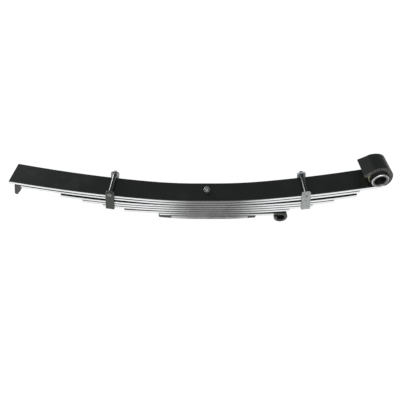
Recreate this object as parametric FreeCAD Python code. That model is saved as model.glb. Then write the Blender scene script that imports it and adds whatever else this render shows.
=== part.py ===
import FreeCAD, Part
import math
import os
from collections import namedtuple

# Heavy multi-leaf spring with eight leaves: one rolled eye with a rubber bush, one plain slipper end,
# a hook leaf, a lower leaf with its own small eye, and two rebound clips.
# Millimetres. +X runs along the leaves towards the rolled eye, +Y across their width, +Z up.
# The origin is on the centre bolt's axis, in the underside of the bottom leaf.

Vector = FreeCAD.Vector
ALONG_Y = Vector(0, 1, 0)
ALONG_Z = Vector(0, 0, 1)

# Leaves
LEAF_WIDTH = 76.0
LEAF_THICKNESS = 10.0
BOTTOM_LEAF_THICKNESS = 16.0    # in the middle; its underside rises towards both ends
LEAF_COUNT = 8
PACK_HEIGHT = (LEAF_COUNT - 1) * LEAF_THICKNESS + BOTTOM_LEAF_THICKNESS
LEAF_EDGE_ROUND = 2.2
SEAT_HALF = 30.0            # flat clamping seat, each side of the centre bolt
INNER_ARC_LENGTH = 150.0    # first arc of a leaf, measured along it from the seat's edge

# A bend is the shape of one side of a group of leaves that lie on each other.
# seat_depth is how far the group's top surface lies below the top of the pack at the seat.
Bend = namedtuple("Bend", "seat_depth inner_radius outer_radius")

# An eye's centre, the unit vector from it to the start of the curl, the leaf's direction there, and its bore.
Scroll = namedtuple("Scroll", "centre spoke along bore_radius")

MAIN_BEND = Bend(0.0, 1200.0, 3000.0)
MIDDLE_BEND = Bend(2 * LEAF_THICKNESS, 1750.0, 1750.0)
LOWER_LEFT_BEND = Bend(5 * LEAF_THICKNESS, 2240.0, 2240.0)
LOWER_RIGHT_BEND = Bend(6 * LEAF_THICKNESS, 4200.0, 4200.0)
UNDERSIDE_LEFT_BEND = Bend(PACK_HEIGHT, 780.0, 780.0)
UNDERSIDE_RIGHT_BEND = Bend(PACK_HEIGHT, 935.0, 935.0)

# Half-lengths, measured along the leaf from the centre bolt
SLIPPER_LENGTH = 573.0
HOOK_LEAF_LEFT = 560.0
HOOK_LEAF_RIGHT = 439.0
THIRD_LEAF_HALF = 437.0
FOURTH_LEAF_HALF = 375.0
FIFTH_LEAF_HALF = 315.0
SIXTH_LEAF_LEFT = 256.0
SIXTH_LEAF_RIGHT = 248.0
SEVENTH_LEAF_LEFT = 148.0
BOTTOM_LEAF_HALF = 151.0

# Rolled main eye: an open scroll turned up round the bush. It narrows from the leaf's width to its top.
EYE_START = 487.0
EYE_BORE_RADIUS = 25.5
EYE_TOP_WIDTH = 60.0
EYE_TURN = 205.0
EYE_TIP_LENGTH = 29.0

# Small eye, turned down at the end of the seventh leaf
SMALL_EYE_START = 229.0
SMALL_EYE_BORE_RADIUS = 11.0
SMALL_EYE_TURN = 290.0

# Hook, turned down at the end of the second leaf
HOOK_ROOT = 24.0
HOOK_TIP = 10.5
HOOK_DROP = 33.0
HOOK_FLARE = 4.4            # how far the tip stands out past the leaf's end

# Rubber bush
SHELL_WALL = 1.5
SHELL_LENGTH = 58.0
RUBBER_WALL = 1.75
RUBBER_LENGTH = 86.0
SLEEVE_BORE_RADIUS = 15.5
SLEEVE_CLEARANCE = 0.05
SLEEVE_LENGTH = 89.0

# Centre bolt
CENTRE_BOLT_RADIUS = 6.0
CENTRE_HOLE_RADIUS = 6.5
CENTRE_BOLT_STAND = 20.0    # from the top leaf to the bolt's end
DOWEL_HEAD_RADIUS = 9.5
DOWEL_HEAD_HEIGHT = 10.0
CENTRE_NUT_FLATS = 19.0
CENTRE_NUT_HEIGHT = 10.0

# Rebound clips
CLIP_DISTANCE = 293.5       # from the centre bolt, along the leaves
CLIP_WIDTH = 25.0
CLIP_THICKNESS = 5.0
CLIP_SIDE_GAP = 0.4
LEFT_CLIP_LEAN = 3.0        # degrees, towards the centre bolt
RIGHT_CLIP_LEAN = 0.5
CLIP_LEAN_DROP = 0.7        # room under the fifth leaf for the lean
CLIP_LEG_RISE = 16.0        # from the top leaf to the leg's end
LEFT_CLIP_STAND = 3.5       # how much further the left clip's legs and bolt stand up
CLIP_CORNER_ROUND = 6.0
CLIP_BEND_ROUND = 8.0
CLIP_BOLT_RISE = 9.0        # from the top leaf to the bolt's axis
CLIP_BOLT_RADIUS = 4.0
CLIP_HOLE_RADIUS = 4.5
CLIP_BOLT_FLATS = 13.0
CLIP_HEAD_HEIGHT = 5.5
CLIP_NUT_HEIGHT = 6.5
CLIP_BOLT_END = 3.0
TUBE_RADIUS = 6.0
PUNCH_DROP = 27.0           # from the bolt's axis down to the punch mark
PUNCH_RADIUS = 1.8
PUNCH_DEPTH = 0.8
RIVET_RADIUS = 4.0
RIVET_HEAD_RADIUS = 7.0
RIVET_HEAD_HEIGHT = 4.0
RIVET_SINK_RADIUS = 6.0
RIVET_SINK_DEPTH = 3.0

LEFT = -1
RIGHT = 1


def save(name, shape):
    """Write one node's solid."""
    shape.exportStep(os.path.join("parts", name + ".step"))


def bend_station(bend, distance):
    """Horizontal place, rise and slope of a group's top surface, a distance along it from the bolt."""
    if distance <= SEAT_HALF:
        return distance, 0.0, 0.0
    inner_end = SEAT_HALF + INNER_ARC_LENGTH
    slope = (min(distance, inner_end) - SEAT_HALF) / bend.inner_radius
    across = SEAT_HALF + bend.inner_radius * math.sin(slope)
    rise = bend.inner_radius * (1 - math.cos(slope))
    if distance > inner_end:
        end_slope = slope + (distance - inner_end) / bend.outer_radius
        across += bend.outer_radius * (math.sin(end_slope) - math.sin(slope))
        rise += bend.outer_radius * (math.cos(slope) - math.cos(end_slope))
        slope = end_slope
    return across, rise, slope


def surface_point(side, bend, depth, distance):
    """Point on the surface that lies a depth below the pack's top at the seat."""
    across, rise, slope = bend_station(bend, distance)
    below = depth - bend.seat_depth
    height = PACK_HEIGHT - bend.seat_depth + rise - below * math.cos(slope)
    return Vector(side * (across + below * math.sin(slope)), 0, height)


def leaf_direction(side, bend, distance):
    """Unit vectors along a leaf, away from the bolt, and square to it, upwards."""
    slope = bend_station(bend, distance)[2]
    along = Vector(side * math.cos(slope), 0, math.sin(slope))
    upward = Vector(-side * math.sin(slope), 0, math.cos(slope))
    return along, upward


def surface_edges(side, bend, depth, end):
    """Line and tangent arcs of one surface, from the centre bolt outwards."""
    inner_end = SEAT_HALF + INNER_ARC_LENGTH
    stops = [0.0, SEAT_HALF]
    if end > inner_end:
        stops.append(inner_end)
    stops.append(end)
    edges = []
    for near, far in zip(stops, stops[1:]):
        first = surface_point(side, bend, depth, near)
        last = surface_point(side, bend, depth, far)
        if far <= SEAT_HALF:
            edges.append(Part.LineSegment(first, last).toShape())
        else:
            middle = surface_point(side, bend, depth, (near + far) / 2)
            edges.append(Part.Arc(first, middle, last).toShape())
    return edges


def scroll_start(bend, inner_depth, distance, bore_radius, upward):
    """Frame of an eye rolled up or down at the leaf's +X end."""
    along, up = leaf_direction(RIGHT, bend, distance)
    spoke = up * -1 if upward else up
    centre = surface_point(RIGHT, bend, inner_depth, distance) - spoke * bore_radius
    return Scroll(centre, spoke, along, bore_radius)


def scroll_point(scroll, radius, turn):
    """Point on the eye, a turn in degrees past the start of the curl."""
    angle = math.radians(turn)
    return scroll.centre + (scroll.spoke * math.cos(angle) + scroll.along * math.sin(angle)) * radius


def scroll_edges(scroll, first_turn, last_turn, tip_length):
    """Closed outline of a stretch of an eye, with a straight tip."""
    angle = math.radians(last_turn)
    tip_direction = scroll.along * math.cos(angle) - scroll.spoke * math.sin(angle)
    edges = []
    starts = []
    ends = []
    for radius in (scroll.bore_radius, scroll.bore_radius + LEAF_THICKNESS):
        start = scroll_point(scroll, radius, first_turn)
        middle = scroll_point(scroll, radius, (first_turn + last_turn) / 2)
        end = scroll_point(scroll, radius, last_turn)
        edges.append(Part.Arc(start, middle, end).toShape())
        if tip_length:
            tip = end + tip_direction * tip_length
            edges.append(Part.LineSegment(end, tip).toShape())
            end = tip
        starts.append(start)
        ends.append(end)
    edges.append(Part.LineSegment(*starts).toShape())
    edges.append(Part.LineSegment(*ends).toShape())
    return edges


def extruded(edges):
    """Solid of the leaf's width from its closed side outline."""
    outline = Part.Wire(Part.__sortEdges__(edges))
    solid = Part.Face(outline).extrude(Vector(0, LEAF_WIDTH, 0))
    solid.translate(Vector(0, -LEAF_WIDTH / 2, 0))
    return solid


def is_sheared(edge):
    """Whether a side's edge is the end of a leaf, as high as the leaf is thick."""
    steep = edge.BoundBox.ZLength > 0.9 * edge.Length
    return steep and abs(edge.Length - LEAF_THICKNESS) < 0.05 * LEAF_THICKNESS


def finish_leaf(solid):
    """Round the leaf's long edges, leave its sheared ends sharp, and drill its centre hole."""
    sides = [face for face in solid.Faces if abs(face.normalAt(0, 0).y) > 0.9]
    edges = [edge for face in sides for edge in face.Edges]
    outlines = [edge for edge in edges if sum(edge.isSame(other) for other in edges) == 1]
    long_edges = [edge for edge in outlines if not is_sheared(edge)]
    rounded = solid.makeFillet(LEAF_EDGE_ROUND, long_edges)
    hole = Part.makeCylinder(CENTRE_HOLE_RADIUS, 2 * PACK_HEIGHT, Vector(0, 0, -PACK_HEIGHT / 2), ALONG_Z)
    return rounded.cut(hole).removeSplitter()


def blank(top, bottom, left, right):
    """Leaf with square ends and edges. Each side is a bend and a length."""
    edges = []
    for side, (bend, length) in ((LEFT, left), (RIGHT, right)):
        edges += surface_edges(side, bend, top, length)
        edges += surface_edges(side, bend, bottom, length)
        upper = surface_point(side, bend, top, length)
        lower = surface_point(side, bend, bottom, length)
        edges.append(Part.LineSegment(upper, lower).toShape())
    return extruded(edges)


def plain_leaf(top, bottom, left, right):
    """Leaf with two plain ends."""
    return finish_leaf(blank(top, bottom, left, right))


def bottom_leaf():
    """Short thick leaf whose underside rises towards its ends."""
    top = PACK_HEIGHT - BOTTOM_LEAF_THICKNESS
    edges = []
    for side, bend, under in ((LEFT, LOWER_LEFT_BEND, UNDERSIDE_LEFT_BEND),
                              (RIGHT, LOWER_RIGHT_BEND, UNDERSIDE_RIGHT_BEND)):
        edges += surface_edges(side, bend, top, BOTTOM_LEAF_HALF)
        edges += surface_edges(side, under, PACK_HEIGHT, BOTTOM_LEAF_HALF)
        upper = surface_point(side, bend, top, BOTTOM_LEAF_HALF)
        lower = surface_point(side, under, PACK_HEIGHT, BOTTOM_LEAF_HALF)
        edges.append(Part.LineSegment(upper, lower).toShape())
    return finish_leaf(extruded(edges))


def trim_eye(solid, scroll):
    """Cut the main eye's sides back, so that it narrows from the leaf's width to its top."""
    start_height = scroll_point(scroll, EYE_BORE_RADIUS, 0).z
    top_height = scroll.centre.z + EYE_BORE_RADIUS + LEAF_THICKNESS
    for side in (LEFT, RIGHT):
        corners = [Vector(EYE_START / 2, side * LEAF_WIDTH / 2, start_height),
                   Vector(EYE_START / 2, side * EYE_TOP_WIDTH / 2, top_height),
                   Vector(EYE_START / 2, side * LEAF_WIDTH, top_height),
                   Vector(EYE_START / 2, side * LEAF_WIDTH, start_height)]
        outline = Part.makePolygon(corners + corners[:1])
        solid = solid.cut(Part.Face(outline).extrude(Vector(EYE_START, 0, 0)))
    return solid


def main_leaf():
    """Top leaf: slipper end on the left, rolled eye on the right. Returns the eye's centre too."""
    body = blank(0.0, LEAF_THICKNESS, (MAIN_BEND, SLIPPER_LENGTH), (MAIN_BEND, EYE_START))
    scroll = scroll_start(MAIN_BEND, 0.0, EYE_START, EYE_BORE_RADIUS, upward=True)
    eye = extruded(scroll_edges(scroll, 0, EYE_TURN, EYE_TIP_LENGTH))
    leaf = finish_leaf(body.fuse(eye).removeSplitter())
    return trim_eye(leaf, scroll), scroll.centre


def hook_leaf():
    """Second leaf, with a forged hook turned down at its left end."""
    top, bottom = LEAF_THICKNESS, 2 * LEAF_THICKNESS
    overlap = HOOK_ROOT / 3
    body = blank(top, bottom, (MAIN_BEND, HOOK_LEAF_LEFT - overlap), (MAIN_BEND, HOOK_LEAF_RIGHT))

    corner = surface_point(LEFT, MAIN_BEND, top, HOOK_LEAF_LEFT)
    outward, upward = leaf_direction(LEFT, MAIN_BEND, HOOK_LEAF_LEFT)

    def place(inward, down):
        return corner - outward * inward - upward * down

    tip_end = LEAF_THICKNESS + HOOK_DROP
    tip_round = HOOK_TIP / 2
    top_round = LEAF_THICKNESS / 2
    root_start = HOOK_ROOT + overlap
    inner_face = HOOK_TIP - HOOK_FLARE
    root_face = HOOK_TIP + 2.5
    outer_bottom = place(-HOOK_FLARE, tip_end - tip_round)
    inner_bottom = place(inner_face, tip_end - tip_round)
    inner_top = place(root_face, LEAF_THICKNESS + HOOK_DROP / 2)
    root = place(root_start, LEAF_THICKNESS - 0.2)
    root_top = place(root_start, LEAF_THICKNESS / 2)
    shoulder = place(top_round, 0)
    cheek = place(0, top_round)
    bend_chord = top_round * (1 - math.sqrt(0.5))
    root_curve = place(root_face + 4.0, LEAF_THICKNESS + 4.0)
    hook_edges = [
        Part.Arc(cheek, place(bend_chord, bend_chord), shoulder).toShape(),
        Part.LineSegment(shoulder, root_top).toShape(),
        Part.LineSegment(root_top, root).toShape(),
        Part.Arc(root, root_curve, inner_top).toShape(),
        Part.LineSegment(inner_top, inner_bottom).toShape(),
        Part.Arc(inner_bottom, place(inner_face - tip_round, tip_end), outer_bottom).toShape(),
        Part.LineSegment(outer_bottom, cheek).toShape(),
    ]
    hook = extruded(hook_edges)
    return finish_leaf(body.fuse(hook).removeSplitter())


def seventh_leaf():
    """Leaf with a small eye turned down at its right end. Returns the eye's centre too."""
    top, bottom = 6 * LEAF_THICKNESS, 7 * LEAF_THICKNESS
    body = blank(top, bottom, (LOWER_LEFT_BEND, SEVENTH_LEAF_LEFT), (LOWER_RIGHT_BEND, SMALL_EYE_START))
    scroll = scroll_start(LOWER_RIGHT_BEND, bottom, SMALL_EYE_START, SMALL_EYE_BORE_RADIUS, upward=False)
    eye = extruded(scroll_edges(scroll, 0, SMALL_EYE_TURN, 0))
    return finish_leaf(body.fuse(eye).removeSplitter()), scroll.centre


def clip_frame(side):
    """Place of a clip's own frame, under the fifth leaf, and the top leaf's height in that frame."""
    under = surface_point(side, MIDDLE_BEND, 5 * LEAF_THICKNESS, CLIP_DISTANCE)
    over = surface_point(side, MAIN_BEND, 0.0, CLIP_DISTANCE)
    upward = leaf_direction(side, MIDDLE_BEND, CLIP_DISTANCE)[1]
    slope = math.degrees(bend_station(MIDDLE_BEND, CLIP_DISTANCE)[2])
    start = under - upward * CLIP_LEAN_DROP
    lean = RIGHT_CLIP_LEAN if side == RIGHT else LEFT_CLIP_LEAN
    placement = FreeCAD.Placement(start, FreeCAD.Rotation(ALONG_Y, -side * (slope + lean)))
    return placement, (over - start).dot(upward)


def fifth_leaf():
    """Fifth leaf, with countersunk holes for the clip rivets."""
    leaf = plain_leaf(4 * LEAF_THICKNESS, 5 * LEAF_THICKNESS, (MIDDLE_BEND, FIFTH_LEAF_HALF),
                      (MIDDLE_BEND, FIFTH_LEAF_HALF))
    for side in (LEFT, RIGHT):
        placement = clip_frame(side)[0]
        hole = rivet_shank(LEAF_THICKNESS + 1)
        hole.Placement = placement
        leaf = leaf.cut(hole)
    return leaf


def rivet_shank(height):
    """Straight shank and countersunk upper end of a rivet, in the clip's frame."""
    shank = Part.makeCylinder(RIVET_RADIUS, height + CLIP_THICKNESS, Vector(0, 0, -CLIP_THICKNESS), ALONG_Z)
    sink_start = LEAF_THICKNESS - RIVET_SINK_DEPTH
    sink = Part.makeCone(RIVET_RADIUS, RIVET_SINK_RADIUS, RIVET_SINK_DEPTH, Vector(0, 0, sink_start), ALONG_Z)
    shape = shank.fuse(sink)
    if height > LEAF_THICKNESS:
        mouth = Part.makeCylinder(RIVET_SINK_RADIUS, height - LEAF_THICKNESS,
                                  Vector(0, 0, LEAF_THICKNESS), ALONG_Z)
        shape = shape.fuse(mouth)
    return shape.removeSplitter()


def clip_rivet():
    """Rivet that holds a clip under the fifth leaf."""
    flush = LEAF_THICKNESS - 0.1
    dome_radius = (RIVET_HEAD_RADIUS ** 2 + RIVET_HEAD_HEIGHT ** 2) / (2 * RIVET_HEAD_HEIGHT)
    dome_centre = -CLIP_THICKNESS - RIVET_HEAD_HEIGHT + dome_radius
    ball = Part.makeSphere(dome_radius, Vector(0, 0, dome_centre))
    under = Part.makeBox(4 * dome_radius, 4 * dome_radius, 4 * dome_radius,
                         Vector(-2 * dome_radius, -2 * dome_radius, -CLIP_THICKNESS - 4 * dome_radius))
    shank = rivet_shank(LEAF_THICKNESS)
    above = Part.makeBox(40, 40, 10, Vector(-20, -20, flush))
    return shank.cut(above).fuse(ball.common(under)).removeSplitter()


def clip_strap(leaf_rise):
    """U-shaped strap round the upper five leaves, in the clip's frame."""
    inner_half = LEAF_WIDTH / 2 + CLIP_SIDE_GAP
    outer_half = inner_half + CLIP_THICKNESS
    top = leaf_rise + CLIP_LEG_RISE
    block = Part.makeBox(CLIP_WIDTH, 2 * outer_half, top + CLIP_THICKNESS,
                         Vector(-CLIP_WIDTH / 2, -outer_half, -CLIP_THICKNESS))
    lower = [edge for edge in block.Edges
             if edge.BoundBox.XLength > CLIP_WIDTH - 1 and edge.CenterOfMass.z < 0]
    block = block.makeFillet(CLIP_BEND_ROUND, lower)
    space = Part.makeBox(2 * CLIP_WIDTH, 2 * inner_half, top + 1, Vector(-CLIP_WIDTH, -inner_half, 0))
    strap = block.cut(space)
    corners = [edge for edge in strap.Edges
               if abs(edge.CenterOfMass.z - top) < 0.01 and edge.BoundBox.YLength > CLIP_THICKNESS - 1]
    strap = strap.makeFillet(CLIP_CORNER_ROUND, corners)
    bolt_hole = Part.makeCylinder(CLIP_HOLE_RADIUS, 4 * outer_half,
                                  Vector(0, -2 * outer_half, leaf_rise + CLIP_BOLT_RISE), ALONG_Y)
    hole_start = Vector(0, 0, -2 * CLIP_THICKNESS)
    rivet_hole = Part.makeCylinder(RIVET_RADIUS, 3 * CLIP_THICKNESS, hole_start, ALONG_Z)
    strap = strap.cut(bolt_hole).cut(rivet_hole)
    mark_height = leaf_rise + CLIP_BOLT_RISE - PUNCH_DROP
    for face in (-outer_half, outer_half - PUNCH_DEPTH):
        strap = strap.cut(Part.makeCylinder(PUNCH_RADIUS, PUNCH_DEPTH, Vector(0, face, mark_height), ALONG_Y))
    return strap.removeSplitter()


def hexagon(flats, height, chamfer):
    """Hexagonal prism from the origin up, with its corners turned off at both ends."""
    corner = flats / math.sqrt(3)
    points = [Vector(corner * math.cos(math.radians(turn)), corner * math.sin(math.radians(turn)), 0)
              for turn in range(0, 420, 60)]
    prism = Part.Face(Part.makePolygon(points)).extrude(Vector(0, 0, height))
    turned = Part.makeCylinder(corner, height)
    turned = turned.makeChamfer(chamfer, [edge for edge in turned.Edges if edge.isClosed()])
    return prism.common(turned)


def turned_rod(radius, length, chamfer):
    """Round rod from the origin up, with its far end chamfered."""
    rod = Part.makeCylinder(radius, length)
    far = [edge for edge in rod.Edges if edge.isClosed() and edge.CenterOfMass.z > length - 0.01]
    return rod.makeChamfer(chamfer, far)


def along_width(shape, start, height):
    """Turn a shape that stands on the origin to point along +Y, at a height in the clip's frame."""
    shape.Placement = FreeCAD.Placement(Vector(0, start, height), FreeCAD.Rotation(Vector(1, 0, 0), -90))
    return shape


def clip_bolt(leaf_rise):
    """Hexagon bolt across the clip, with its head at the front."""
    face = LEAF_WIDTH / 2 + CLIP_SIDE_GAP + CLIP_THICKNESS
    axis = leaf_rise + CLIP_BOLT_RISE
    head = hexagon(CLIP_BOLT_FLATS, CLIP_HEAD_HEIGHT, 0.8)
    shank = turned_rod(CLIP_BOLT_RADIUS, 2 * face + CLIP_NUT_HEIGHT + CLIP_BOLT_END, 1.0)
    head = along_width(head, -face - CLIP_HEAD_HEIGHT, axis)
    shank = along_width(shank, -face, axis)
    return head.fuse(shank).removeSplitter()


def clip_nut(leaf_rise):
    """Nut on the clip's bolt."""
    face = LEAF_WIDTH / 2 + CLIP_SIDE_GAP + CLIP_THICKNESS
    nut = hexagon(CLIP_BOLT_FLATS, CLIP_NUT_HEIGHT, 0.8)
    nut = nut.cut(Part.makeCylinder(CLIP_BOLT_RADIUS, CLIP_NUT_HEIGHT))
    return along_width(nut, face, leaf_rise + CLIP_BOLT_RISE)


def clip_tube(leaf_rise):
    """Spacer tube that keeps the clip's legs apart."""
    half = LEAF_WIDTH / 2 + CLIP_SIDE_GAP
    tube = Part.makeCylinder(TUBE_RADIUS, 2 * half)
    tube = tube.cut(Part.makeCylinder(CLIP_HOLE_RADIUS, 2 * half))
    return along_width(tube, -half, leaf_rise + CLIP_BOLT_RISE)


def save_clip(side, label):
    """Write the five pieces of one clip. The right clip's bolt goes in from the back."""
    placement, leaf_rise = clip_frame(side)
    if side == LEFT:
        leaf_rise += LEFT_CLIP_STAND
    about_face = FreeCAD.Placement(Vector(), FreeCAD.Rotation(ALONG_Z, 180 if side == RIGHT else 0))
    pieces = {
        "clip_strap": clip_strap(leaf_rise),
        "clip_bolt": clip_bolt(leaf_rise),
        "clip_nut": clip_nut(leaf_rise),
        "clip_tube": clip_tube(leaf_rise),
        "clip_rivet": clip_rivet(),
    }
    for name, shape in pieces.items():
        placed = shape.copy()
        placed.Placement = placement.multiply(about_face).multiply(shape.Placement)
        save(name + "_" + label, placed)


def ring(outer_radius, inner_radius, length, rim_round):
    """Tube along Y about the origin, with its outer rims rounded."""
    tube = Part.makeCylinder(outer_radius, length, Vector(0, -length / 2, 0), ALONG_Y)
    if rim_round:
        tube = tube.makeFillet(rim_round, [edge for edge in tube.Edges if edge.isClosed()])
    return tube.cut(Part.makeCylinder(inner_radius, length, Vector(0, -length / 2, 0), ALONG_Y))


def save_bush(centre):
    """Write the bush: plated outer shell, rubber and inner sleeve."""
    shell_inner = EYE_BORE_RADIUS - SHELL_WALL
    rubber_inner = shell_inner - RUBBER_WALL
    sleeve_outer = rubber_inner - SLEEVE_CLEARANCE
    pieces = {
        "bush_outer_shell": ring(EYE_BORE_RADIUS, shell_inner, SHELL_LENGTH, 0.0),
        "bush_rubber": ring(shell_inner, rubber_inner, RUBBER_LENGTH, 1.2),
        "bush_inner_sleeve": ring(sleeve_outer, SLEEVE_BORE_RADIUS, SLEEVE_LENGTH, 2.5),
    }
    for name, shape in pieces.items():
        shape.translate(centre)
        save(name, shape)


def centre_bolt():
    """Bolt through the pack, with a cylindrical dowel head under the bottom leaf."""
    head = Part.makeCylinder(DOWEL_HEAD_RADIUS, DOWEL_HEAD_HEIGHT, Vector(0, 0, -DOWEL_HEAD_HEIGHT))
    rim = [edge for edge in head.Edges if edge.isClosed() and edge.CenterOfMass.z < -DOWEL_HEAD_HEIGHT + 0.01]
    head = head.makeChamfer(1.0, rim)
    shank = turned_rod(CENTRE_BOLT_RADIUS, PACK_HEIGHT + CENTRE_BOLT_STAND, 1.5)
    return head.fuse(shank).removeSplitter()


def centre_nut():
    """Nut on top of the main leaf."""
    nut = hexagon(CENTRE_NUT_FLATS, CENTRE_NUT_HEIGHT, 1.2)
    nut = nut.cut(Part.makeCylinder(CENTRE_BOLT_RADIUS, CENTRE_NUT_HEIGHT))
    nut.translate(Vector(0, 0, PACK_HEIGHT))
    return nut


def middle_leaf(number, half_length):
    """Plain leaf of the group that the clips hold."""
    side = (MIDDLE_BEND, half_length)
    return plain_leaf((number - 1) * LEAF_THICKNESS, number * LEAF_THICKNESS, side, side)


def main():
    os.makedirs("parts", exist_ok=True)
    top_leaf, eye_centre = main_leaf()
    eyed_leaf, small_eye_centre = seventh_leaf()
    save("leaf_1_main_eye", top_leaf)
    save("leaf_2_hook", hook_leaf())
    save("leaf_3", middle_leaf(3, THIRD_LEAF_HALF))
    save("leaf_4", middle_leaf(4, FOURTH_LEAF_HALF))
    save("leaf_5", fifth_leaf())
    save("leaf_6", plain_leaf(5 * LEAF_THICKNESS, 6 * LEAF_THICKNESS, (LOWER_LEFT_BEND, SIXTH_LEAF_LEFT),
                              (MIDDLE_BEND, SIXTH_LEAF_RIGHT)))
    save("leaf_7_small_eye", eyed_leaf)
    save("leaf_8_bottom", bottom_leaf())
    save("centre_bolt", centre_bolt())
    save("centre_nut", centre_nut())
    save_bush(eye_centre)
    save_clip(LEFT, "left")
    save_clip(RIGHT, "right")
    print("main eye centre", [round(value, 3) for value in eye_centre])
    print("small eye centre", [round(value, 3) for value in small_eye_centre])


main()
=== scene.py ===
import math

import bmesh
import bpy
from mathutils import Matrix, Vector


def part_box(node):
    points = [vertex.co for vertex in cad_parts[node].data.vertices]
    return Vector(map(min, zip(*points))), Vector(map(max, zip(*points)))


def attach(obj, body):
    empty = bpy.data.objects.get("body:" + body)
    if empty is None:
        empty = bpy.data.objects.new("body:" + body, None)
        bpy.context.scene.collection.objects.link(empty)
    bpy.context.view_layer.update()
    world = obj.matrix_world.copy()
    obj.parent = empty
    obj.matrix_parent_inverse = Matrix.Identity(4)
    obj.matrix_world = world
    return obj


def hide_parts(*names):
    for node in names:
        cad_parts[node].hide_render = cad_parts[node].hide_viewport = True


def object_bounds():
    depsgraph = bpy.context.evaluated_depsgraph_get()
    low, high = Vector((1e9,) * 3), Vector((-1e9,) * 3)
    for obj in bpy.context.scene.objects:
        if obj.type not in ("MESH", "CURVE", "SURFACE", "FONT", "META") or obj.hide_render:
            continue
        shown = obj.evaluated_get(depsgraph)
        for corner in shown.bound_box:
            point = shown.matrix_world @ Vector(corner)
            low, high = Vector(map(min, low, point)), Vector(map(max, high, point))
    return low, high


# Looks of a heavy multi-leaf spring: black painted leaves with ground sides, a bushed rolled eye,
# a hook leaf, a small lower eye and two bolted rebound clips. Metres, in the CAD model's frame:
# +X along the leaves towards the rolled eye, +Y across their width, +Z up.

MM = 0.001

# Leaves
LEAF_ARCH = 0.27                  # rise of a leaf per square metre of distance from the centre bolt
GROUND_SIDE = 37.93 * MM          # the leaves' sides are ground bright from here outwards
GROUND_FADE = 0.12 * MM
WHOLE_LENGTH = (-1.0, 1.0)        # stretches along X over which a leaf's sides are ground
HOOK_LEAF_GROUND = (-538 * MM, 1.0)
SMALL_EYE_LEAF_GROUND = (-1.0, 207 * MM)
BOTTOM_LEAF_GROUND = (-112 * MM, 128 * MM)
MIDDLE_PLACE = 20 * MM            # the sides are greyest here, and bright beyond MIDDLE_END
MIDDLE_END = 190 * MM
MIDDLE_CORE = 50 * MM

# Centre bolt
CENTRE_BOLT_RADIUS = 6 * MM
CENTRE_BOLT_PITCH = 1.75 * MM
CENTRE_BOLT_CHAMFER = 1.2 * MM
CENTRE_THREAD_REACH = 12 * MM     # how far the thread runs down below the nut
CENTRE_NUT_FLATS = 19 * MM
CENTRE_NUT_TURN = 12              # degrees
DOWEL_HEAD_RADIUS = 9.5 * MM
DOWEL_HEAD_HEIGHT = 10 * MM
DOWEL_HEAD_CHAMFER = 0.8 * MM

# Clip bolts
CLIP_BOLT_RADIUS = 4 * MM
CLIP_BOLT_PITCH = 1.25 * MM
CLIP_BOLT_CHAMFER = 0.9 * MM
CLIP_BOLT_FLATS = 13 * MM
CLIP_HEAD_HEIGHT = 5.5 * MM
CLIP_THREAD_LENGTH = 20 * MM
WASHER_FACE_RADIUS = 5.9 * MM
WASHER_FACE_HEIGHT = 0.5 * MM
CLIP_FACE = 43.4 * MM             # the clip legs' outer faces, each side of the middle

# Threads, nuts and heads
THREAD_DEPTH = 0.55               # share of the pitch
THREAD_PLAY = 0.05 * MM           # a nut's bore reaches this far into its bolt's thread
THREAD_OVERLAP = 0.2 * MM         # how far a thread starts inside its shank
CENTRE_NUT_CHAMFER = 0.8 * MM     # inside the nuts' holes
CLIP_NUT_CHAMFER = 0.6 * MM
HEX_CHAMFER_ANGLE = 30            # degrees
HEX_FACE_SHARE = 0.96             # a chamfered face's diameter, as a share of the distance across flats

# Bush
SHELL_BORE = 24 * MM
SHELL_EDGE = 0.4 * MM
RUBBER_BORE = 22.25 * MM
RUBBER_EDGE = 0.6 * MM
SLEEVE_BORE = 15.5 * MM
SLEEVE_EDGE = 2.2 * MM
SLEEVE_HIGHLIGHT_RIM = 20.6 * MM            # the sleeve is painted much lighter from this radius outwards: a painted highlight on its rim

# Edges sharper than this are shaded as edges
SMOOTH_ANGLE = 32                 # degrees

# Studio
FLOOR_SIZE = 20.0
FLOOR_GLOW = 0.97
SURROUNDINGS = (0.95, 0.98, 1.0, 1.0)
SURROUNDINGS_GLOW = 0.29

# Camera, in degrees and millimetres of lens on a 36 mm sensor
CAMERA_PLACE = Vector((13.1, -725.2, 842.3)) * MM
CAMERA_DOWN = 47.54
CAMERA_LEFT = 2.77
CAMERA_ROLL = -2.02
CAMERA_LENS = 30.83
CAMERA_SENSOR = 36.0


# --------------------------------------------------------------------------------------------
# Shader maths
# --------------------------------------------------------------------------------------------

class Value:
    """A number that varies over a surface. Expressions on it add Math nodes."""

    def __init__(self, finish, socket):
        self.finish = finish
        self.socket = socket

    def math(self, operation, *terms):
        inputs = dict(enumerate(terms))
        return self.finish.node("ShaderNodeMath", {"operation": operation}, inputs)

    def __add__(self, other):
        return self.math("ADD", self, other)

    __radd__ = __add__

    def __sub__(self, other):
        return self.math("SUBTRACT", self, other)

    def __rsub__(self, other):
        return self.math("SUBTRACT", other, self)

    def __mul__(self, other):
        return self.math("MULTIPLY", self, other)

    __rmul__ = __mul__

    def __truediv__(self, other):
        return self.math("DIVIDE", self, other)

    def __abs__(self):
        return self.math("ABSOLUTE", self)

    def ramp(self, low, high):
        """0 below low, 1 above high, smooth between. Low may be the larger number."""
        settings = {"interpolation_type": "SMOOTHSTEP"}
        inputs = {"Value": self, "From Min": low, "From Max": high}
        return self.finish.node("ShaderNodeMapRange", settings, inputs)


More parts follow.
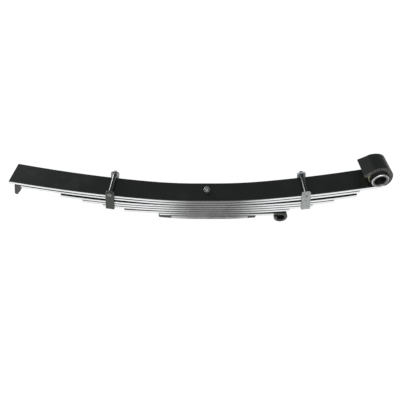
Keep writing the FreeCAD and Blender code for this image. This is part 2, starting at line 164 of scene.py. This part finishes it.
class Finish:
    """A material, and the few node patterns that the spring's surfaces use."""

    def __init__(self, name):
        self.material = bpy.data.materials.new(name)
        self.material.use_nodes = True
        self.tree = self.material.node_tree
        self.tree.nodes.clear()
        self.place = self.node("ShaderNodeTexCoord", {}, {}, "Object")
        self.normal = self.node("ShaderNodeTexCoord", {}, {}, "Normal")

    def node(self, kind, settings, inputs, output=0):
        """Add a node: its settings first, then its sockets' values or links. Returns one output."""
        made = self.tree.nodes.new(kind)
        for name, value in settings.items():
            setattr(made, name, value)
        for name, value in inputs.items():
            if isinstance(value, Value):
                self.tree.links.new(value.socket, made.inputs[name])
            else:
                made.inputs[name].default_value = value
        return Value(self, made.outputs[output]) if made.outputs else None

    def parts(self, vector):
        """The three numbers of a vector."""
        return [self.node("ShaderNodeSeparateXYZ", {}, {0: vector}, axis) for axis in range(3)]

    def joined(self, x, y, z):
        """A vector from three numbers."""
        return self.node("ShaderNodeCombineXYZ", {}, {0: x, 1: y, 2: z})

    def noise(self, place, scale, detail=3.0, roughness=0.55, distortion=0.0):
        """Cloudy pattern from 0 to 1 with a mean near a half."""
        inputs = {"Vector": place, "Scale": scale, "Detail": detail, "Roughness": roughness,
                  "Distortion": distortion}
        return self.node("ShaderNodeTexNoise", {"normalize": True}, inputs)

    def mixed(self, share, first, second):
        """Colour between two."""
        return self.node("ShaderNodeMix", {"data_type": "RGBA"}, {0: share, 6: first, 7: second}, 2)

    def bump(self, height, distance, strength=1.0):
        return self.node("ShaderNodeBump", {}, {"Height": height, "Distance": distance, "Strength": strength})

    def surface(self, inputs):
        """The finished surface. What is the same all over is set on the shader itself."""
        shader = self.node("ShaderNodeBsdfPrincipled", {}, inputs)
        self.node("ShaderNodeOutputMaterial", {}, {"Surface": shader})
        return self.material


def grey(level, warm=0.0):
    """Neutral colour, a little warm or cool."""
    return (level * (1 + warm), level, level * (1 - warm), 1.0)


# --------------------------------------------------------------------------------------------
# Finishes
# --------------------------------------------------------------------------------------------

def painted_leaf(name, ground_from, ground_to):
    """Glossy black paint, with the sides ground bright between two places along the leaf."""
    finish = Finish(name)
    x, y, z = finish.parts(finish.place)
    ny, nz = finish.parts(finish.normal)[1:]
    # The leaves rise towards their ends, so patterns along them follow a shallow parabola.
    level = z - x * x * LEAF_ARCH
    along = finish.joined(x * 6, y * 6, level * 700)
    streaks = finish.noise(along, 1.0, 4.0, 0.6)
    clouds = finish.noise(finish.place, 14.0, 3.0, 0.6)
    specks = finish.noise(finish.place, 900.0, 2.0, 0.7)
    blotches = finish.noise(finish.place, 160.0, 3.0, 0.6)

    # Where the metal is bare: on the flat of the side, between the two places, above the lower rounding.
    side = abs(ny).ramp(0.955, 0.985)
    wander = (blotches - 0.5) * 0.02
    reach = (x + wander).ramp(ground_from - 1 * MM, ground_from + 1 * MM)
    reach = reach * (x + wander).ramp(ground_to + 1 * MM, ground_to - 1 * MM)
    underside = (0 - nz).ramp(0.04, 0.20)
    ground = side * reach * abs(y).ramp(GROUND_SIDE - GROUND_FADE, GROUND_SIDE) * (1 - underside)
    # Where the side isn't ground, it keeps its rough mill scale.
    scale = abs(ny).ramp(0.93, 0.99) * (1 - ground)

    middle = (abs(x - MIDDLE_PLACE) + (clouds - 0.5) * 0.06).ramp(MIDDLE_END, MIDDLE_CORE)
    stain = clouds.ramp(0.52, 0.72) * 0.12 + streaks.ramp(0.50, 0.75) * 0.25 + middle * 0.75
    bright = finish.mixed(stain, grey(0.88, -0.01), grey(0.085, 0.03))
    dust = specks.ramp(0.62, 0.80) * 0.5 + clouds.ramp(0.45, 0.75) * 0.5
    black = finish.mixed(dust * 0.6, (0.0060, 0.0070, 0.0066, 1), (0.014, 0.016, 0.0145, 1))
    flecks = specks.ramp(0.50, 0.62) * 0.6 + blotches.ramp(0.45, 0.62) * 0.4
    scaly = finish.mixed(flecks, (0.033, 0.033, 0.030, 1), (0.128, 0.131, 0.121, 1))
    paint = finish.mixed(scale, black, scaly)
    paint_height = blotches * 0.6 + specks * (0.25 + scale)
    height = paint_height * (1 - ground) + streaks * ground
    paint_roughness = 0.36 + dust * 0.16 + scale * 0.25
    ground_roughness = 0.26 + streaks * 0.20 + middle * 0.15
    return finish.surface({
        "Base Color": finish.mixed(ground, paint, bright),
        "Specular IOR Level": 0.28,
        "Metallic": ground,
        "Roughness": paint_roughness * (1 - ground) + ground_roughness * ground,
        "Normal": finish.bump(height, 0.04 * MM, 0.6),
    })


def plated_clip(name, light, dark, inner, roughness):
    """Dull plated strap with mottling, scuffs, painted shade in its punch marks and rubbed inner faces."""
    finish = Finish(name)
    x, y, z = finish.parts(finish.place)
    ny = finish.parts(finish.normal)[1]
    mottle = finish.noise(finish.place, 120.0, 5.0, 0.65)
    fine = finish.noise(finish.place, 900.0, 2.0, 0.6)
    scuffs = finish.noise(finish.joined(x * 300, y * 300, z * 30), 1.0, 3.0, 0.6)
    shade = mottle.ramp(0.32, 0.68) * 0.7 + fine * 0.3
    # The sunk floors of the punch marks are painted nearly black: painted shade in the recesses.
    punch_mark_shade = abs(y).ramp(CLIP_FACE - 0.1 * MM, CLIP_FACE - 0.4 * MM) * abs(ny).ramp(0.9, 0.99)
    inward = (0 - ny * y / CLIP_FACE).ramp(0.6, 0.8)
    colour = finish.mixed(punch_mark_shade * 0.9, finish.mixed(shade, dark, light), grey(0.02))
    colour = finish.mixed(inward * (0.5 + shade * 0.5), colour, inner)
    return finish.surface({
        "Base Color": colour,
        "Metallic": scuffs.ramp(0.5, 0.7) * 0.3,
        "Roughness": roughness + mottle * 0.2 - scuffs.ramp(0.6, 0.8) * 0.1,
        "Normal": finish.bump(mottle * 0.7 + fine * 0.3, 0.05 * MM, 0.5),
    })


def fastener_steel(name, light, dark, metallic, roughness):
    """Dull plating on bolts and nuts, with handling marks."""
    finish = Finish(name)
    cloud = finish.noise(finish.place, 260.0, 4.0, 0.6)
    fine = finish.noise(finish.place, 1500.0, 2.0, 0.5)
    return finish.surface({
        "Base Color": finish.mixed(cloud.ramp(0.35, 0.7), light, dark),
        "Metallic": metallic,
        "Roughness": roughness + cloud * 0.18,
        "Normal": finish.bump(fine * 0.5 + cloud * 0.5, 0.02 * MM, 0.5),
    })


def tube_finish():
    """Dark glossy spacer tube, rubbed bright in places."""
    finish = Finish("tube_paint")
    x, y, z = finish.parts(finish.place)
    rings = finish.noise(finish.joined(x * 20, y * 700, z * 20), 1.0, 3.0, 0.6)
    rubbed = finish.noise(finish.place, 90.0, 4.0, 0.65).ramp(0.66, 0.78)
    return finish.surface({
        "Base Color": finish.mixed(rubbed, (0.010, 0.011, 0.011, 1), grey(0.16)),
        "Metallic": rubbed * 0.6,
        "Roughness": 0.07 + rings * 0.06,
        "Normal": finish.bump(rings, 0.02 * MM, 0.4),
    })


def moulded_rubber():
    """Black rubber with a slight bloom."""
    finish = Finish("bush_rubber")
    bloom = finish.noise(finish.place, 220.0, 4.0, 0.65)
    grain = finish.noise(finish.place, 2200.0, 2.0, 0.5)
    return finish.surface({
        "Base Color": finish.mixed(bloom.ramp(0.4, 0.75), grey(0.006), grey(0.016)),
        "Specular IOR Level": 0.2,
        "Roughness": 0.55 + bloom * 0.25,
        "Normal": finish.bump(grain, 0.03 * MM, 0.5),
    })


def turned_steel(name, centre, light, dark, roughness, rim=None):
    """Steel turned on a lathe: fine rings round an axis along Y, and past a radius a much lighter rim, a
    painted highlight.
    """
    finish = Finish(name)
    x, y, z = finish.parts(finish.place)
    across = finish.joined(x - centre.x, 0.0, z - centre.z)
    radius = finish.node("ShaderNodeVectorMath", {"operation": "LENGTH"}, {0: across}, 1)
    rings = finish.noise(finish.joined(radius * 2500, y * 1200, 0.0), 1.0, 2.0, 0.6)
    mottle = finish.noise(finish.place, 180.0, 4.0, 0.6)
    colour = finish.mixed(mottle.ramp(0.35, 0.7), light, dark)
    # Past the rim radius the colour turns light grey: a painted highlight on the rounded edge.
    if rim:
        colour = finish.mixed(radius.ramp(rim - 0.5 * MM, rim + 0.5 * MM), colour, grey(0.8))
    return finish.surface({
        "Base Color": colour,
        "Metallic": 1.0,
        "Roughness": roughness + mottle * 0.15 + rings * 0.1,
        "Normal": finish.bump(rings * 0.6 + mottle * 0.4, 0.02 * MM, 0.5),
    })


def pale_floor():
    """Plain matt floor, lit from within like a light table."""
    finish = Finish("studio_floor")
    return finish.surface({"Base Color": grey(0.06), "Roughness": 0.9, "Specular IOR Level": 0.0,
                           "Emission Color": grey(1.0), "Emission Strength": FLOOR_GLOW})


# --------------------------------------------------------------------------------------------
# Shapes
# --------------------------------------------------------------------------------------------

def turned(profile, segments):
    """Solid of revolution about Z from a list of (radius, height), closed where it meets the axis."""
    shape = bmesh.new()
    points = [shape.verts.new((radius, 0, height)) for radius, height in profile]
    for first, second in zip(points, points[1:]):
        shape.edges.new((first, second))
    if profile[0][0] > 0:
        shape.edges.new((points[-1], points[0]))
    bmesh.ops.spin(shape, geom=shape.verts[:] + shape.edges[:], cent=(0, 0, 0), axis=(0, 0, 1),
                   angle=math.tau, steps=segments, use_merge=True)
    bmesh.ops.remove_doubles(shape, verts=shape.verts[:], dist=1e-6)
    bmesh.ops.recalc_face_normals(shape, faces=shape.faces[:])
    return shape


def rounded_ring(outer, inner, length, edge_round, segments=96):
    """Tube along Z, centred, with rounded rims."""
    half = length / 2
    shape = turned([(inner, -half), (outer, -half), (outer, half), (inner, half)], segments)
    rims = [edge for edge in shape.edges if edge.calc_face_angle(0) > math.radians(60)]
    bmesh.ops.bevel(shape, geom=rims, offset=edge_round, offset_type="OFFSET", affect="EDGES",
                    segments=3, profile=0.5, material=-1)
    return shape


def cut_by_plane(shape, point, outward):
    """Cut away what lies beyond a plane, and close the cut."""
    everything = shape.verts[:] + shape.edges[:] + shape.faces[:]
    cut = bmesh.ops.bisect_plane(shape, geom=everything, plane_co=point, plane_no=outward, dist=1e-7,
                                 clear_outer=True)
    rim = [item for item in cut["geom_cut"] if isinstance(item, bmesh.types.BMEdge)]
    bmesh.ops.edgeloop_fill(shape, edges=rim)


def hexagonal(flats, height, bore, chamfer_inside):
    """Nut or bolt head from Z 0 to its height: a turned blank with both faces chamfered, cut by six flats."""
    corner = flats / math.sqrt(3) + 0.05 * MM
    face = flats / 2 * HEX_FACE_SHARE
    drop = (corner - face) * math.tan(math.radians(HEX_CHAMFER_ANGLE))
    profile = [(face, 0), (corner, drop), (corner, height - drop), (face, height)]
    if bore:
        wide = bore + chamfer_inside
        profile += [(wide, height), (bore, height - chamfer_inside), (bore, chamfer_inside), (wide, 0)]
    else:
        profile = [(0, 0)] + profile + [(0, height)]
    blank = turned(profile, 96)
    for index in range(6):
        angle = math.radians(60 * index)
        outward = Vector((math.cos(angle), math.sin(angle), 0))
        cut_by_plane(blank, outward * flats / 2, outward)
    return blank


def threaded_rod(radius, pitch, low, high, end_chamfer, segments=36):
    """Rod along Z with a real helical thread, flat at the low end and chamfered at the high end."""
    root = radius - THREAD_DEPTH * pitch
    shape = bmesh.new()
    profile = [(root, 0.0), (root, 0.12), (radius, 0.46), (radius, 0.66), (root, 1.0)]
    points = [shape.verts.new((r, 0, low + (share - 2) * pitch)) for r, share in profile]
    edges = [shape.edges.new(pair) for pair in zip(points, points[1:])]
    turns = math.ceil((high - low) / pitch) + 3
    bmesh.ops.spin(shape, geom=points + edges, cent=(0, 0, 0), axis=(0, 0, 1), angle=math.tau * turns,
                   steps=segments * turns, dvec=(0, 0, pitch / segments))
    bmesh.ops.remove_doubles(shape, verts=shape.verts[:], dist=pitch * 0.01)
    cut_by_plane(shape, (0, 0, low), (0, 0, -1))
    cut_by_plane(shape, (0, 0, high), (0, 0, 1))
    for vertex in shape.verts:
        allowed = radius - end_chamfer + (high - vertex.co.z)
        out = math.hypot(vertex.co.x, vertex.co.y)
        if out > allowed:
            vertex.co.x *= allowed / out
            vertex.co.y *= allowed / out
    bmesh.ops.recalc_face_normals(shape, faces=shape.faces[:])
    return shape


def add_to(shape, other):
    """Put another shape's faces into this one."""
    carrier = bpy.data.meshes.new("carrier")
    other.to_mesh(carrier)
    shape.from_mesh(carrier)
    other.free()
    bpy.data.meshes.remove(carrier)


def moved(shape, matrix):
    """Put a shape in its place."""
    bmesh.ops.transform(shape, matrix=matrix, verts=shape.verts[:])
    return shape


def standing_at(point, axis):
    """Matrix that takes the origin to a point and Z to an axis."""
    turn = Vector((0, 0, 1)).rotation_difference(Vector(axis)).to_matrix().to_4x4()
    return Matrix.Translation(point) @ turn


def finished_piece(name, shape, finish, body, nodes):
    """Make a shape an object that stands for CAD nodes."""
    mesh = bpy.data.meshes.new(name)
    shape.to_mesh(mesh)
    shape.free()
    mesh.materials.append(finish)
    mesh.polygons.foreach_set("use_smooth", [True] * len(mesh.polygons))
    mesh.set_sharp_from_angle(angle=math.radians(SMOOTH_ANGLE))
    made = bpy.data.objects.new(name, mesh)
    bpy.context.scene.collection.objects.link(made)
    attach(made, body)
    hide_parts(*nodes)
    return made


def middle_of(node):
    """Centre of a CAD node's box."""
    low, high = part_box(node)
    return (low + high) / 2


# --------------------------------------------------------------------------------------------
# Pieces
# --------------------------------------------------------------------------------------------

def centre_bolt(finish):
    """Bolt through the pack: dowel head below, threaded end above."""
    low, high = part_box("centre_bolt")
    thread_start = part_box("centre_nut")[0].z - CENTRE_THREAD_REACH
    head_top = low.z + DOWEL_HEAD_HEIGHT
    profile = [(0, low.z), (DOWEL_HEAD_RADIUS - DOWEL_HEAD_CHAMFER, low.z),
               (DOWEL_HEAD_RADIUS, low.z + DOWEL_HEAD_CHAMFER), (DOWEL_HEAD_RADIUS, head_top),
               (CENTRE_BOLT_RADIUS, head_top), (CENTRE_BOLT_RADIUS, thread_start), (0, thread_start)]
    shape = turned(profile, 64)
    thread = threaded_rod(CENTRE_BOLT_RADIUS, CENTRE_BOLT_PITCH, thread_start - THREAD_OVERLAP, high.z,
                          CENTRE_BOLT_CHAMFER)
    add_to(shape, thread)
    return finished_piece("centre_bolt_turned", shape, finish, "spring_pack", ["centre_bolt"])


def centre_nut(finish):
    """Nut on top of the pack, turned as it was left when tightened."""
    low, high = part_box("centre_nut")
    shape = hexagonal(CENTRE_NUT_FLATS, high.z - low.z, CENTRE_BOLT_RADIUS - THREAD_PLAY, CENTRE_NUT_CHAMFER)
    turn = Matrix.Rotation(math.radians(CENTRE_NUT_TURN), 4, "Z")
    moved(shape, Matrix.Translation((0, 0, low.z)) @ turn)
    return finished_piece("centre_nut_cut", shape, finish, "spring_pack", ["centre_nut"])


def clip_bolt(side, finish):
    """Cross bolt: its head lies on one leg of the clip and its thread comes out of the other."""
    node = "clip_bolt_" + side
    low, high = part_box(node)
    centre = middle_of(node)
    forward = -1 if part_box("clip_nut_" + side)[0].y < 0 else 1
    head_end = low.y if forward > 0 else high.y
    length = high.y - low.y
    thread_start = length - CLIP_THREAD_LENGTH
    washer_start = CLIP_HEAD_HEIGHT - WASHER_FACE_HEIGHT
    shape = hexagonal(CLIP_BOLT_FLATS, CLIP_HEAD_HEIGHT - 0.3 * MM, 0, 0)
    shank = [(0, washer_start), (WASHER_FACE_RADIUS, washer_start), (WASHER_FACE_RADIUS, CLIP_HEAD_HEIGHT),
             (CLIP_BOLT_RADIUS, CLIP_HEAD_HEIGHT), (CLIP_BOLT_RADIUS, thread_start), (0, thread_start)]
    add_to(shape, turned(shank, 64))
    thread = threaded_rod(CLIP_BOLT_RADIUS, CLIP_BOLT_PITCH, thread_start - THREAD_OVERLAP, length,
                          CLIP_BOLT_CHAMFER)
    add_to(shape, thread)
    moved(shape, standing_at((centre.x, head_end, centre.z), (0, forward, 0)))
    return finished_piece(node + "_cut", shape, finish, "spring_pack", [node])


def clip_nut(side, finish):
    """Nut on the far end of a cross bolt."""
    node = "clip_nut_" + side
    low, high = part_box(node)
    centre = middle_of(node)
    shape = hexagonal(CLIP_BOLT_FLATS, high.y - low.y, CLIP_BOLT_RADIUS - THREAD_PLAY, CLIP_NUT_CHAMFER)
    moved(shape, standing_at((centre.x, low.y, centre.z), (0, 1, 0)))
    return finished_piece(node + "_cut", shape, finish, "spring_pack", [node])


def bush_piece(node, name, bore, edge_round, finish, body):
    """One ring of the bush, along Y."""
    low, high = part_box(node)
    shape = rounded_ring((high.x - low.x) / 2, bore, high.y - low.y, edge_round)
    moved(shape, standing_at(middle_of(node), (0, 1, 0)))
    return finished_piece(name, shape, finish, body, [node])


def paint_node(node, finish):
    """Give a CAD node its finish."""
    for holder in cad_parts[node].material_slots:
        holder.material = finish


# --------------------------------------------------------------------------------------------
# Studio
# --------------------------------------------------------------------------------------------

def add_floor(height):
    """Floor wide enough to fill every view."""
    shape = bmesh.new()
    bmesh.ops.create_grid(shape, x_segments=1, y_segments=1, size=FLOOR_SIZE)
    bmesh.ops.translate(shape, vec=(0, 0, height), verts=shape.verts[:])
    mesh = bpy.data.meshes.new("studio_floor")
    shape.to_mesh(mesh)
    shape.free()
    mesh.materials.append(pale_floor())
    floor = bpy.data.objects.new("studio_floor", mesh)
    bpy.context.scene.collection.objects.link(floor)


def add_softbox(name, place, target, width, height, power):
    """Large soft lamp."""
    lamp = bpy.data.lights.new(name, "AREA")
    lamp.shape = "RECTANGLE"
    lamp.size = width
    lamp.size_y = height
    lamp.energy = power
    holder = bpy.data.objects.new(name, lamp)
    holder.location = place
    holder.rotation_euler = (Vector(target) - Vector(place)).to_track_quat("-Z", "Y").to_euler()
    bpy.context.scene.collection.objects.link(holder)


def add_camera():
    """Camera above and in front of the spring, turned a little and rolled a little."""
    down, left, roll = (math.radians(angle) for angle in (CAMERA_DOWN, -CAMERA_LEFT, CAMERA_ROLL))
    forward = Vector((math.sin(left) * math.cos(down), math.cos(left) * math.cos(down), -math.sin(down)))
    level_right = Vector((math.cos(left), -math.sin(left), 0))
    level_up = level_right.cross(forward)
    right = level_right * math.cos(roll) + level_up * math.sin(roll)
    up = level_up * math.cos(roll) - level_right * math.sin(roll)
    lens = bpy.data.cameras.new("camera")
    lens.sensor_width = CAMERA_SENSOR
    lens.lens = CAMERA_LENS
    lens.clip_start = 0.01
    camera = bpy.data.objects.new("camera", lens)
    turn = Matrix((right, up, -forward)).transposed().to_4x4()
    camera.matrix_world = Matrix.Translation(CAMERA_PLACE) @ turn
    bpy.context.scene.collection.objects.link(camera)
    bpy.context.scene.camera = camera


def light_studio():
    """Dim surroundings, soft light from above and from the camera's side, and a strip behind."""
    world = bpy.data.worlds.new("studio")
    world.use_nodes = True
    background = world.node_tree.nodes["Background"]
    background.inputs["Color"].default_value = SURROUNDINGS
    background.inputs["Strength"].default_value = SURROUNDINGS_GLOW
    bpy.context.scene.world = world
    add_softbox("front_softbox", (0.1, -2.2, 2.4), (0, 0, 0.05), 1.8, 1.0, 60)
    add_softbox("back_strip", (-1.95, 2.0, 1.15), (0, 0, 0.1), 0.35, 1.2, 30)
    add_softbox("top_softbox", (0.0, -0.5, 2.6), (0, 0, 0), 3.4, 1.6, 25)
    bpy.context.scene.view_settings.view_transform = "Standard"


# --------------------------------------------------------------------------------------------

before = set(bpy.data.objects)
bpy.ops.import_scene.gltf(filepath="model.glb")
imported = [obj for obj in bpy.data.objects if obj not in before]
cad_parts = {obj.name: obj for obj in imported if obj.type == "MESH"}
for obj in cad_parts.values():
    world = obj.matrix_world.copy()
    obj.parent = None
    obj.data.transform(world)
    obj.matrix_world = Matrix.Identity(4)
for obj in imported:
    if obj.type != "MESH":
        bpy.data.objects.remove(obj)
cad_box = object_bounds()

leaf = painted_leaf("leaf_paint", *WHOLE_LENGTH)
for node in ("leaf_1_main_eye", "leaf_3", "leaf_4", "leaf_5", "leaf_6"):
    paint_node(node, leaf)
paint_node("leaf_2_hook", painted_leaf("hook_leaf_paint", *HOOK_LEAF_GROUND))
paint_node("leaf_7_small_eye", painted_leaf("small_eye_leaf_paint", *SMALL_EYE_LEAF_GROUND))
paint_node("leaf_8_bottom", painted_leaf("bottom_leaf_paint", *BOTTOM_LEAF_GROUND))

bolt_finish = fastener_steel("bolt_plating", (0.24, 0.25, 0.235, 1), (0.10, 0.11, 0.10, 1), 0.9, 0.18)
nut_finish = fastener_steel("nut_plating", grey(0.60), grey(0.20), 0.5, 0.20)
centre_finish = fastener_steel("centre_plating", grey(0.45), grey(0.05), 0.95, 0.12)
centre_bolt(centre_finish)
centre_nut(centre_finish)
tube = tube_finish()
clip_finishes = {
    "left": plated_clip("clip_dark", (0.038, 0.043, 0.036, 1), (0.021, 0.025, 0.020, 1), grey(0.62), 0.42),
    "right": plated_clip("clip_light", (0.34, 0.36, 0.35, 1), (0.22, 0.24, 0.23, 1),
                         (0.26, 0.30, 0.33, 1), 0.38),
}
for side, clip_finish in clip_finishes.items():
    paint_node("clip_strap_" + side, clip_finish)
    paint_node("clip_tube_" + side, tube)
    paint_node("clip_rivet_" + side, clip_finish)
    clip_bolt(side, bolt_finish)
    clip_nut(side, nut_finish)

eye = middle_of("bush_inner_sleeve")
shell_finish = turned_steel("plated_shell", eye, (0.50, 0.50, 0.33, 1), (0.28, 0.29, 0.17, 1), 0.55)
sleeve_finish = turned_steel("sleeve_steel", eye, grey(0.20), grey(0.09), 0.28, SLEEVE_HIGHLIGHT_RIM)
bush_piece("bush_outer_shell", "bush_shell_rolled", SHELL_BORE, SHELL_EDGE, shell_finish,
           "spring_pack")
bush_piece("bush_rubber", "bush_rubber_moulded", RUBBER_BORE, RUBBER_EDGE, moulded_rubber(),
           "spring_pack")
bush_piece("bush_inner_sleeve", "bush_sleeve_turned", SLEEVE_BORE, SLEEVE_EDGE, sleeve_finish,
           "bush_sleeve")

add_floor(cad_box[0].z)
light_studio()
add_camera()
